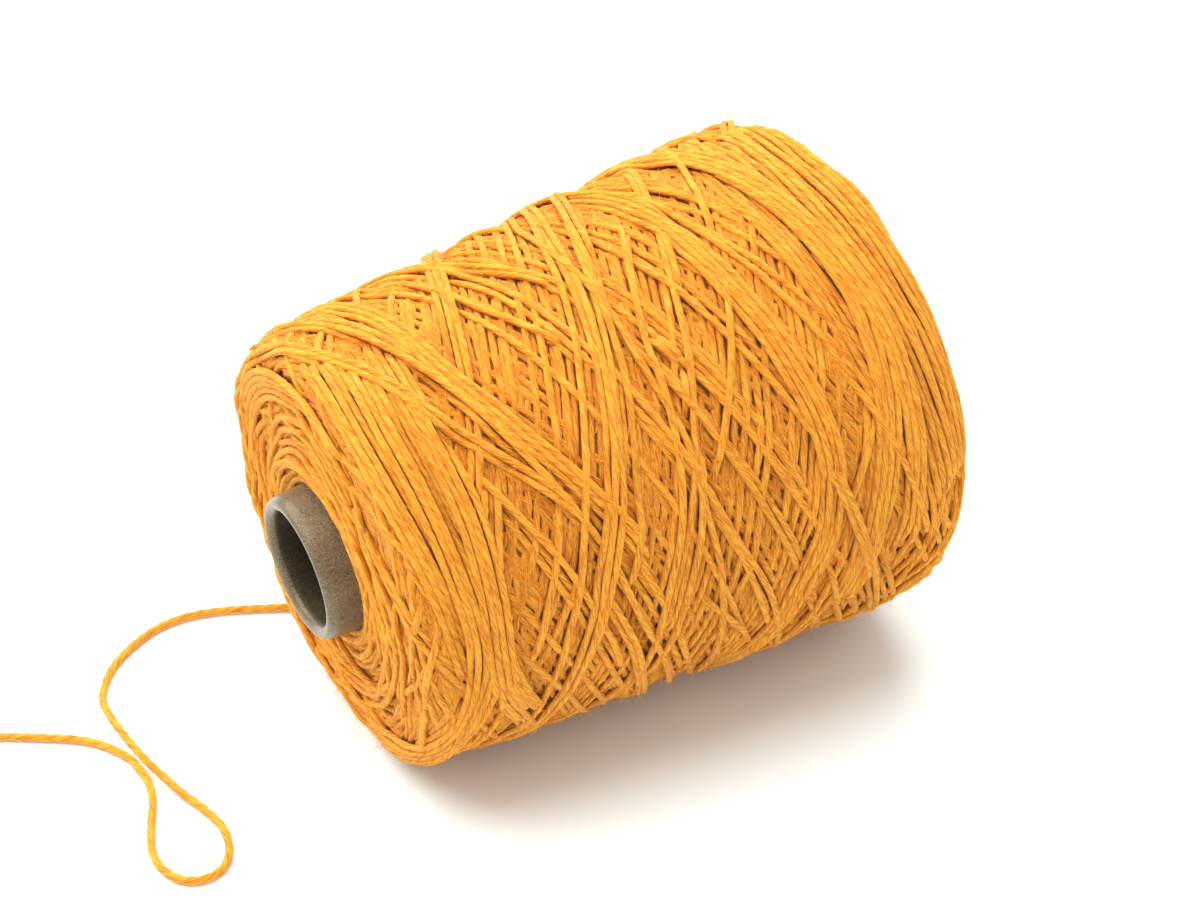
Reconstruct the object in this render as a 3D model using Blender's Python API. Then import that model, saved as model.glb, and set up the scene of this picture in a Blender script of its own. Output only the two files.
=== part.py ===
"""A cone of knitting yarn lying on its side, with its loose end on the surface beside it.

Three pieces: the tapered paper core, the yarn wound on it, and the loose end of the same yarn.
Metres, +Z up. The origin is on the surface, under the middle of the cone. +X runs from the
nose (the small end) to the base (the big end). The cone lies on its side, so its axis rises
towards the base by the angle of its taper.
"""
import math
from collections import namedtuple

import bmesh
import bpy
from mathutils import Matrix, Vector

# Driving dimensions, in metres.
NOSE_R = 0.0190  # outer radius of the paper core at its nose
CORE_LENGTH = 0.1700
CORE_WALL = 0.0022
NOSE_OUT = 0.0087  # how far the core's nose stands out of the yarn
TRAVERSE = 0.1524  # length of yarn along the axis
SMALL_R = 0.0565  # outer radius of the yarn at the small end
BIG_R = 0.0686  # outer radius of the yarn at the big end
YARN_D = 0.0022
SETTLE = 0.00085  # how far the yarn presses flat where the cone lies on it

TAPER = math.atan2(BIG_R - SMALL_R, TRAVERSE)  # half angle of the cone
CLEARANCE = 0.0003  # gap between pieces that touch

# Core: the rolled lip at the nose is part of an ellipse outside and a smaller one inside.
LIP_CREST_IN = 0.0014  # radial distance from the core's outside to the crest of its lip
LIP_OUTER_DEPTH = 0.0026
LIP_INNER_DEPTH = 0.0010
LIP_STEPS = 4
CORE_SEGMENTS = 48

# Yarn: rounded shoulders, a slight belly, and two sets of raised bands that cross.
SMALL_SHOULDER = 0.0070
BIG_SHOULDER = 0.0130
BELLY = 0.0005
RELIEF = 0.0018  # depth of the valleys between the bands
BANDS = 10  # raised bands of each set around the cone
RINGS_PER_BAND = 4  # mesh rings along the axis from one band to the next
UNDER = 0.55  # height of a band where it passes under another one
ARC_STEP = 0.0110  # distance between the raised arcs on the end faces
ARC_STARTS = 2
UNEVEN = 0.28  # share of the relief that comes and goes along the cone
UNEVEN_TURNS = 2
UNEVEN_STEP = 0.0830
PRESSED = math.radians(9.0)  # half angle of the strip under the cone that is pressed smooth
PRESSED_EDGE = math.radians(9.0)
YARN_SEGMENTS = 80
FACE_RINGS_SMALL = 9
FACE_RINGS_BIG = 8
SHOULDER_RINGS_SMALL = 4
SHOULDER_RINGS_BIG = 5
SIDE_RINGS = 37
SIDE_LENGTH = TRAVERSE - SMALL_SHOULDER - BIG_SHOULDER
BAND_STEP = RINGS_PER_BAND * SIDE_LENGTH / SIDE_RINGS

# Loose end: chosen points of its centre line, in millimetres. It leaves the far side of the
# cone, drops to the surface, makes one teardrop loop that passes over itself, and runs off.
TAIL_ROUTE_MM = (
    # x, y, z
    (-30.6, 37.2, 11.9),
    (-32.6, 35.3, 8.0),
    (-35.6, 33.6, 4.0),
    (-39.6, 32.9, 1.7),
    (-44.8, 34.0, 1.2),
    (-50.6, 37.0, 1.2),
    (-58.0, 42.0, 1.2),
    (-66.5, 47.8, 1.2),
    (-80.3, 54.6, 1.2),
    (-88.2, 57.6, 1.2),
    (-96.2, 59.0, 1.2),
    (-104.4, 58.0, 1.2),
    (-113.0, 54.0, 1.2),
    (-120.3, 48.6, 1.2),
    (-125.2, 42.1, 1.3),
    (-127.6, 36.6, 1.7),
    (-128.3, 28.0, 2.5),
    (-127.9, 16.0, 3.3),
    (-126.8, 7.6, 3.2),
    (-125.3, 2.0, 2.5),
    (-123.2, -5.3, 1.6),
    (-120.4, -14.0, 1.2),
    (-119.1, -22.0, 1.2),
    (-120.8, -29.8, 1.2),
    (-124.8, -34.9, 1.2),
    (-130.0, -36.1, 1.2),
    (-134.4, -34.2, 1.2),
    (-137.0, -30.2, 1.2),
    (-138.0, -25.0, 1.2),
    (-137.0, -18.8, 1.2),
    (-133.9, -11.4, 1.2),
    (-130.5, -4.1, 1.2),
    (-128.9, 2.4, 1.2),
    (-129.1, 9.1, 1.2),
    (-130.3, 15.1, 1.2),
    (-136.4, 24.7, 1.2),
    (-149.1, 33.8, 1.2),
    (-162.8, 42.1, 1.2),
    (-173.0, 48.0, 1.2),
)
TAIL_POINTS = 80
TAIL_FINE_STEPS = 40  # short steps between two route points, to measure the curve's length
TAIL_BEVEL_RESOLUTION = 2

YARN_COLOUR = (0.83, 0.38, 0.055, 1.0)
PAPER_COLOUR = (0.27, 0.20, 0.13, 1.0)
SHARP_EDGE = math.radians(40.0)

# One ring of the yarn's surface: its place, the part of its outward normal along the axis and
# out from it, the share of the side's bands in its relief, and how much of the relief it has.
Ring = namedtuple("Ring", "along radius normal_along normal_out side_share relief_share")


def core_radius(along):
    """Outer radius of the core, at a distance along the axis from the yarn's small end."""
    return NOSE_R + (along + NOSE_OUT) * math.tan(TAPER)


def core_middle_x():
    """X of the middle of the lying core, counted from where the yarn's small end meets the axis."""
    nose = -NOSE_OUT * math.cos(TAPER) - (NOSE_R - LIP_CREST_IN) * math.sin(TAPER)
    base_along = CORE_LENGTH - NOSE_OUT
    base = base_along * math.cos(TAPER) + core_radius(base_along) * math.sin(TAPER)
    return 0.5 * (nose + base)


# Where the yarn's small end meets the axis, once the cone lies on its side.
AXIS_START = Vector((-core_middle_x(), 0.0, SMALL_R * math.cos(TAPER) - SETTLE))
AXIS_TURN = Matrix.Rotation(-TAPER, 4, 'Y')


def on_cone(along, radius, angle):
    """World point at a distance along the axis, a radius from it and an angle from its top."""
    point = Vector((along, radius * math.sin(angle), radius * math.cos(angle)))
    return AXIS_START + AXIS_TURN @ point


def make_material(name, colour, roughness):
    """Plain non-metallic material."""
    material = bpy.data.materials.new(name)
    material.use_nodes = True
    shader = material.node_tree.nodes["Principled BSDF"]
    shader.inputs["Base Color"].default_value = colour
    shader.inputs["Roughness"].default_value = roughness
    shader.inputs["Metallic"].default_value = 0.0
    return material


def mesh_object(name, bm, material):
    """Smooth-shaded object from a bmesh, with its faces turned outwards."""
    bmesh.ops.recalc_face_normals(bm, faces=bm.faces)
    mesh = bpy.data.meshes.new(name)
    bm.to_mesh(mesh)
    bm.free()
    mesh.materials.append(material)
    mesh.shade_smooth()
    mesh.set_sharp_from_angle(angle=SHARP_EDGE)
    piece = bpy.data.objects.new(name, mesh)
    bpy.context.collection.objects.link(piece)
    return piece


# ---- the paper core ----

def core_profile():
    """Outline of the core's wall in its own axis frame: (along, radius) from base to base."""
    nose = -NOSE_OUT
    base = CORE_LENGTH - NOSE_OUT
    crest_r = NOSE_R - LIP_CREST_IN
    outer_start = nose + LIP_OUTER_DEPTH
    inner_start = nose + LIP_INNER_DEPTH
    lip_out = core_radius(outer_start) - crest_r
    lip_in = crest_r - (core_radius(inner_start) - CORE_WALL)
    points = [(base, core_radius(base))]
    for step in range(LIP_STEPS):
        angle = 0.5 * math.pi * step / LIP_STEPS
        along = outer_start - LIP_OUTER_DEPTH * math.sin(angle)
        points.append((along, crest_r + lip_out * math.cos(angle)))
    for step in range(LIP_STEPS + 1):
        angle = 0.5 * math.pi * step / LIP_STEPS
        along = inner_start - LIP_INNER_DEPTH * math.cos(angle)
        points.append((along, crest_r - lip_in * math.sin(angle)))
    points.append((base, core_radius(base) - CORE_WALL))
    return points


def make_core(material):
    """Tapered paper tube: its wall's outline spun around the axis, then laid on its side."""
    bm = bmesh.new()
    verts = [bm.verts.new((along, 0.0, radius)) for along, radius in core_profile()]
    edges = [bm.edges.new((verts[i], verts[(i + 1) % len(verts)])) for i in range(len(verts))]
    bmesh.ops.spin(
        bm,
        geom=verts + edges,
        axis=(1.0, 0.0, 0.0),
        cent=(0.0, 0.0, 0.0),
        angle=2.0 * math.pi,
        steps=CORE_SEGMENTS,
        use_merge=True,
    )
    core = mesh_object("core", bm, material)
    core.location = AXIS_START
    core.rotation_euler = (0.0, -TAPER, 0.0)
    return core


# ---- the wound yarn ----

def smooth(value):
    """Ease from 0 to 1 as value goes from 0 to 1."""
    value = min(1.0, max(0.0, value))
    return value * value * (3.0 - 2.0 * value)


def ridge(phase):
    """Round-topped ridge with narrow grooves: 1 where the phase is whole, 0 half-way between."""
    return abs(math.cos(math.pi * phase))


def crossing_bands(turn, along):
    """Height, 0 to 1, of the two sets of bands that cross on the side, over and under by turns."""
    climbed = (along - SMALL_SHOULDER) / BAND_STEP
    rising = BANDS * turn + climbed
    falling = BANDS * turn - climbed
    rising_over = 0.5 + 0.5 * math.cos(math.pi * rising) * math.cos(math.pi * falling)
    rising_height = ridge(rising) * (UNDER + (1.0 - UNDER) * rising_over)
    falling_height = ridge(falling) * (1.0 - (1.0 - UNDER) * rising_over)
    fade = ridge(UNEVEN_TURNS * turn + along / UNEVEN_STEP)
    return max(rising_height, falling_height) * (1.0 - UNEVEN * fade)


def end_arcs(turn, radius):
    """Height, 0 to 1, of the arcs that spiral slowly out over an end face."""
    return ridge(radius / ARC_STEP + ARC_STARTS * turn)


def package_profile():
    """Rings of the yarn's outer surface, from the small end's hole to the big end's hole."""
    rings = []
    small_edge_r = SMALL_R + SMALL_SHOULDER * math.tan(TAPER) - SMALL_SHOULDER
    big_edge_r = BIG_R - BIG_SHOULDER * math.tan(TAPER) - BIG_SHOULDER
    small_hole_r = core_radius(0.0) + CLEARANCE
    big_hole_r = core_radius(TRAVERSE) + CLEARANCE
    for step in range(FACE_RINGS_SMALL):
        share = step / FACE_RINGS_SMALL
        radius = small_hole_r + (small_edge_r - small_hole_r) * share
        rings.append(Ring(0.0, radius, -1.0, 0.0, 0.0, min(1.0, step)))
    for step in range(SHOULDER_RINGS_SMALL):
        angle = 0.5 * math.pi * step / SHOULDER_RINGS_SMALL
        along = SMALL_SHOULDER * (1.0 - math.cos(angle))
        radius = small_edge_r + SMALL_SHOULDER * math.sin(angle)
        side_share = smooth(step / SHOULDER_RINGS_SMALL)
        rings.append(Ring(along, radius, -math.cos(angle), math.sin(angle), side_share, 1.0))
    for step in range(SIDE_RINGS):
        share = step / SIDE_RINGS
        along = SMALL_SHOULDER + SIDE_LENGTH * share
        radius = SMALL_R + along * math.tan(TAPER) + BELLY * 4.0 * share * (1.0 - share)
        rings.append(Ring(along, radius, 0.0, 1.0, 1.0, 1.0))
    for step in range(SHOULDER_RINGS_BIG):
        angle = 0.5 * math.pi * step / SHOULDER_RINGS_BIG
        along = TRAVERSE - BIG_SHOULDER * (1.0 - math.sin(angle))
        radius = big_edge_r + BIG_SHOULDER * math.cos(angle)
        side_share = 1.0 - smooth(step / SHOULDER_RINGS_BIG)
        rings.append(Ring(along, radius, math.sin(angle), math.cos(angle), side_share, 1.0))
    for step in range(FACE_RINGS_BIG + 1):
        share = step / FACE_RINGS_BIG
        radius = big_edge_r + (big_hole_r - big_edge_r) * share
        rings.append(Ring(TRAVERSE, radius, 1.0, 0.0, 0.0, min(1.0, FACE_RINGS_BIG - step)))
    return rings


def pressed_smooth(angle):
    """1 on the strip that the cone lies on, 0 away from it."""
    from_bottom = abs(angle - math.pi)
    return 1.0 - smooth((from_bottom - PRESSED) / PRESSED_EDGE)


def package_point(ring, segment):
    """World point of one ring at one step around the cone, never below the surface."""
    turn = segment / YARN_SEGMENTS
    angle = 2.0 * math.pi * turn
    height = ring.side_share * crossing_bands(turn, ring.along)
    height += (1.0 - ring.side_share) * end_arcs(turn, ring.radius)
    height += (1.0 - height) * pressed_smooth(angle)
    valley = RELIEF * ring.relief_share * (1.0 - height)
    along = ring.along - valley * ring.normal_along
    point = on_cone(along, ring.radius - valley * ring.normal_out, angle)
    point.z = max(point.z, 0.0)
    return point


def make_package(material):
    """The wound yarn as one closed solid, with a conical hole for the core."""
    bm = bmesh.new()
    loops = []
    for ring in package_profile():
        loops.append([bm.verts.new(package_point(ring, i)) for i in range(YARN_SEGMENTS)])
    for first, second in zip(loops, loops[1:] + loops[:1]):
        for i in range(YARN_SEGMENTS):
            j = (i + 1) % YARN_SEGMENTS
            bm.faces.new((first[i], first[j], second[j], second[i]))
    return mesh_object("yarn_package", bm, material)


# ---- the loose end ----

def spline_point(points, position):
    """Point on a smooth curve through the given points; whole positions are the points."""
    index = min(int(position), len(points) - 2)
    t = position - index
    before = points[index - 1] if index > 0 else 2.0 * points[0] - points[1]
    start = points[index]
    end = points[index + 1]
    after = points[index + 2] if index + 2 < len(points) else 2.0 * points[-1] - points[-2]
    return 0.5 * (
        2.0 * start
        + (end - before) * t
        + (2.0 * before - 5.0 * start + 4.0 * end - after) * t * t
        + (3.0 * start - before - 3.0 * end + after) * t * t * t
    )


def evenly_spaced(points, count):
    """Points a constant distance apart on the smooth curve through the given points."""
    fine_steps = TAIL_FINE_STEPS * (len(points) - 1)
    fine = [spline_point(points, (len(points) - 1) * i / fine_steps) for i in range(fine_steps + 1)]
    travelled = [0.0]
    for start, end in zip(fine, fine[1:]):
        travelled.append(travelled[-1] + (end - start).length)
    spaced = []
    index = 0
    for i in range(count):
        wanted = travelled[-1] * i / (count - 1)
        while index < fine_steps - 1 and travelled[index + 1] < wanted:
            index += 1
        share = (wanted - travelled[index]) / (travelled[index + 1] - travelled[index])
        spaced.append(fine[index].lerp(fine[index + 1], share))
    return spaced


def make_tail(material):
    """The loose end: a tube along its route, with both ends closed."""
    route = [Vector(point) * 0.001 for point in TAIL_ROUTE_MM]
    curve = bpy.data.curves.new("tail", 'CURVE')
    curve.dimensions = '3D'
    curve.bevel_depth = 0.5 * YARN_D
    curve.bevel_resolution = TAIL_BEVEL_RESOLUTION
    curve.use_fill_caps = True
    spline = curve.splines.new('POLY')
    spline.points.add(TAIL_POINTS - 1)
    for target, point in zip(spline.points, evenly_spaced(route, TAIL_POINTS)):
        target.co = (point.x, point.y, point.z, 1.0)
    curve.materials.append(material)
    tail = bpy.data.objects.new("tail", curve)
    bpy.context.collection.objects.link(tail)
    return tail


def main():
    for old in list(bpy.data.objects):
        bpy.data.objects.remove(old, do_unlink=True)
    yarn = make_material("yarn", YARN_COLOUR, 0.9)
    paper = make_material("paper", PAPER_COLOUR, 0.6)
    make_core(paper)
    make_package(yarn)
    make_tail(yarn)


main()
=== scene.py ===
"""Looks of the cone of yarn: real turns of two-ply yarn wound over each other, the paper core,
the loose end, and a plain pale floor with soft studio light.

The winding is worked out in millimetres on a grid that follows the yarn's surface, and every
mesh is made in metres. Angles around the cone are counted from its top towards +Y.
"""
import math

import bpy
import numpy as np
from mathutils import Matrix, Vector


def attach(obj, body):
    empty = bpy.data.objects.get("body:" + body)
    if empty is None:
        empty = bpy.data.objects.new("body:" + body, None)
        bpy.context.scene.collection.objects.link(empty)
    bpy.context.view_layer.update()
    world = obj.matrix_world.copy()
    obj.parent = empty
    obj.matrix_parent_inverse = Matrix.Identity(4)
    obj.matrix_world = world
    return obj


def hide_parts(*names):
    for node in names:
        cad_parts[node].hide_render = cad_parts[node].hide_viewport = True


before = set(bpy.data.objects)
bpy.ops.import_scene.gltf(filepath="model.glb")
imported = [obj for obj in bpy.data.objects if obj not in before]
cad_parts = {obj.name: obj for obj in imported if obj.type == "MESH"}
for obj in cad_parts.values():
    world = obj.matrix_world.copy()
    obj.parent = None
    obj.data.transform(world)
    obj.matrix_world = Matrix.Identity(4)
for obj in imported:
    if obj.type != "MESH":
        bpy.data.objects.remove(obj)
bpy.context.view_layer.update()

MM = 0.001
TURN = 2.0 * math.pi

# The cone's own sizes, in millimetres, as in the part's source, with a fuller lip.
NOSE_R = 19.0
CORE_LENGTH = 170.0
CORE_WALL = 2.2
NOSE_OUT = 8.7
LIP_CREST_IN = 1.4
LIP_OUTER_DEPTH = 3.6
LIP_INNER_DEPTH = 2.2
LIP_THICKER = 2.2  # how much thicker the wall is where it is rolled into the lip,
LIP_FADE = 4.0  # and how far in this fades out
TRAVERSE = 152.4
SMALL_R = 56.5
BIG_R = 68.6
SMALL_SHOULDER = 7.0
BIG_SHOULDER = 13.0
BELLY = 0.5
SETTLE = 0.85  # how far the yarn is pressed flat where the cone rests
CLEARANCE = 0.3
TAPER = math.atan2(BIG_R - SMALL_R, TRAVERSE)
SIDE_LENGTH = TRAVERSE - SMALL_SHOULDER - BIG_SHOULDER
COLUMNS = 120  # of the plain surfaces around the axis
COLUMN_ANGLES = TURN * np.arange(COLUMNS) / COLUMNS

# The yarn, in millimetres. Each ring of a strand's mesh is turned on by one of its sides.
YARN_R = 1.1
PACKED_R = 0.88  # half the distance of strands that lie side by side in the winding
WOUND_WIDE = 1.00  # half width of a wound strand's section, which its neighbours press into
WOUND_HIGH = 0.86  # half height of a wound strand's section
PLY_TURN = 7.7  # length of one turn of the two plies around each other
STRAND_SIDES = 6
TAIL_SIDES = 12
RING_STEP = PLY_TURN / STRAND_SIDES
GROOVE = 0.08  # depth of the groove between the plies, as a share of the strand's radius
TAIL_GROOVE = 0.16
FIBRE_TURN_SHARE = 0.4  # how much of the plies' turning their fibres show
UNEVEN = 0.035  # share by which a strand is thicker and thinner,
UNEVEN_LONG = 5.3  # in a long wave
UNEVEN_SHORT = 2.1  # and a short one
END_SHARE = 0.6  # a strand's run ends at this share of its radius,
END_GROWS = 0.2  # and grows by this share at each ring

# Loose end: the route of the part's source, in millimetres.
TAIL_ROUTE_MM = (
    (-30.6, 37.2, 11.9), (-32.6, 35.3, 8.0), (-35.6, 33.6, 4.0), (-39.6, 32.9, 1.7),
    (-44.8, 34.0, 1.2), (-50.6, 37.0, 1.2), (-58.0, 42.0, 1.2), (-66.5, 47.8, 1.2),
    (-80.3, 54.6, 1.2), (-88.2, 57.6, 1.2), (-96.2, 59.0, 1.2), (-104.4, 58.0, 1.2),
    (-113.0, 54.0, 1.2), (-120.3, 48.6, 1.2), (-125.2, 42.1, 1.3), (-127.6, 36.6, 1.7),
    (-128.3, 28.0, 2.5), (-127.9, 16.0, 3.3), (-126.8, 7.6, 3.2), (-125.3, 2.0, 2.5),
    (-123.2, -5.3, 1.6), (-120.4, -14.0, 1.2), (-119.1, -22.0, 1.2), (-120.8, -29.8, 1.2),
    (-124.8, -34.9, 1.2), (-130.0, -36.1, 1.2), (-134.4, -34.2, 1.2), (-137.0, -30.2, 1.2),
    (-138.0, -25.0, 1.2), (-137.0, -18.8, 1.2), (-133.9, -11.4, 1.2), (-130.5, -4.1, 1.2),
    (-128.9, 2.4, 1.2), (-129.1, 9.1, 1.2), (-130.3, 15.1, 1.2), (-136.4, 24.7, 1.2),
    (-149.1, 33.8, 1.2), (-162.8, 42.1, 1.2), (-173.0, 48.0, 1.2),
)
TAIL_FINE_STEPS = 40
TAIL_TINT = 0.3

# Laying strands on the height grid. Heights are counted outwards from the part's surface.
SEED = 11
CELL = 0.5  # size of a cell of the grid, along the outline
CELLS_AROUND = 840
BASE_DEPTH = 5.0  # depth at which the lowest strands are laid
PRESS = 0.30  # share of its radius that a strand keeps to what lies under it,
ARC_HOLD = 0.6  # for an arc on an end face,
TOP_HOLD = 0.75  # and for a strand of the last ones
TOP_PRESS = 0.75  # share of its radius by which a strand raises what comes on it
SUPPORT_SHARES = (-0.9, -0.45, 0.0, 0.45, 0.9)  # where across a strand its support is read
TOP_SHARES = np.linspace(-0.95, 0.95, 9)  # and where its top is written
SHOWN_SHARES = np.linspace(-0.9, 0.9, 7)
FEWEST_RINGS = 6  # of a strand
RUN_RINGS = 4  # fewest rings of a stretch that is built
BRIDGE = 0.35  # most that a strand stands free over what lies under it
TAUT_PASSES = 90
LEAST_CURVE, MOST_CURVE = 0.002, 0.08
HELD_RINGS = 8.0  # over how many rings a strand leaves the height where the last one ended
SLIDES = np.arange(-0.6, 0.61, 0.15)  # how far a strand may slide sideways into a valley
SLIDE_EVERY = 4
SLIDE_COST = 0.15
SLIDE_CHANGE_COST = 0.8
SLIDE_END_RINGS = 12.0
DIVE_LENGTH = 9.0
DIVE_DEPTH = 4.0
SETTLE_REACH = 5.0  # how far the settling of pressed yarn looks around
SETTLED = 0.74  # share of its relief that pressed yarn keeps
SETTLE_EVERY = 48
LEVEL_RADIUS = 6.0  # how far the levelling of the finished winding looks around
LEVEL_SHARE = 0.88
TOP_MEAN = -0.35  # mean height of the finished winding
HOLE_SINK = 1.6  # how much lower the winding ends at the core,
HOLE_REACH = 3.0  # and how soon this fades out
TOP_CEILING = 1.0  # most that a strand's middle stands over the part's surface
SINK_FROM = 0.9  # strands deeper than this under their surroundings are raised towards it,
SINK_MOST = 0.75  # so that none lies more than this under it
FULL_SHADE_DEPTH = 1.5  # a strand this far under its surroundings gets the darkest and reddest painted shade
# how much the painted shade of a deep strand lowers its tone value, making it darker and redder
DEEP_SHADE_DROP = 2.0
JOIN_RINGS = 18  # over how many rings the last strand bends to where the loose end starts
MOST_FACES = 190000  # of one piece

# The strokes that a winder lays from end to end.
STROKES = 380
UNDER_STROKES = 210  # of these, how many are only seen in gaps and are made plainer
STROKE_TURNS = 1.070446  # turns around the cone from one end to the other
TURNS_STRAY = 0.003
PAST_SMALL, PAST_BIG = 7.0, 12.0  # how far they reach past the side's ends
FACE_ROOM = 4.0  # what they leave free of the end faces, at the core
TURNS_ON_SHOULDER = 0.35
SHOULDER_SAG = 6.0  # most that a turn sags if it stays on the shoulder
USUAL_TURNS = 0.88
SHARP_LAG, USUAL_LAG, WIDE_LAG = 4.0, 14.0, 34.0  # how rounded the turns are
LEAST_WIDTH = 0.5  # over how many radians a slight sag fades out,
SAG_WIDER = 24.0  # and how much deeper it is if it does so over one radian more
PLAIN_TURN = {"lag": 8.0, "sag": 0.0, "width": 1.0}
STRAY = 0.45  # how far a strand strays from its even path
OWN_STRAY = 0.15  # and how far from the others of its bundle
LONG_WAVES, SHORT_WAVES = (0.7, 2.0), (3.0, 6.0)  # fewest and most of a stroke in a turn,
BUNDLE_WAVES = (1.5, 4.0)  # and of one of the last strands
RIBBON_STROKES = (56, 98)  # how many strokes go by before the ribbons are laid elsewhere
RIBBON_SHIFTS = np.linspace(-0.09, 0.09, 13)  # in turns around the cone

# Arcs on an end face and its shoulder.
SMALL_ARCS, BIG_ARCS = 150, 200  # how many are laid before the strokes,
LATE_SMALL_ARCS, LATE_BIG_ARCS = 50, 70  # and after them
ARC_ONTO_SIDE = 8.0
LATE_ARC_BACK = 10.0  # how much less far the later ones reach
ARC_HALVES = (22.0, 55.0)
ARC_LEAN = 0.10
ARC_OPENING = 0.14
ARC_BOW = 2.0
ARC_STRAY = 0.6
ARC_TRIES = 6
ARC_SETTLE_EVERY = 90

# The plain surface under the strands.
BASE_UNDER = 2.15  # its depth under the finished winding,
BASE_EDGE_UNDER = 1.5  # at the core,
BASE_EDGE_SLOPE = 0.5  # and how soon it gets deeper from there
BASE_EVERY = 6
BASE_BORE_IN = 4.0
BASE_BORE_ROWS = 12
# painted shade: the base surface's tone value, which makes it darker and redder than the strands
BASE_PAINTED_SHADE = -2.0

# Stray fibres.
FUZZ_COUNT = 46000
FUZZ_WIDTH = 0.11
FUZZ_LEAN = 0.9  # how far around a strand, in radians, they start
FUZZ_ROOT = 0.1
FUZZ_RISE = (0.1, 0.8)
FUZZ_SCATTER = 0.25
FUZZ_CURL = 0.3
FUZZ_MEAN = 1.1  # how much longer than the shortest they are in the mean
FUZZ_SHORTEST, FUZZ_LONGEST = 0.8, 4.5
FUZZ_SECTIONS = ((0.0, 1.0), (0.5, 0.8), (1.0, 0.3))  # share of a fibre's length and width

# The map for baking.
BAKE_GAP = 0.6  # room between its rows, as a share of a cell
MAP_START, MAP_SIZE = 0.002, 0.996

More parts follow.
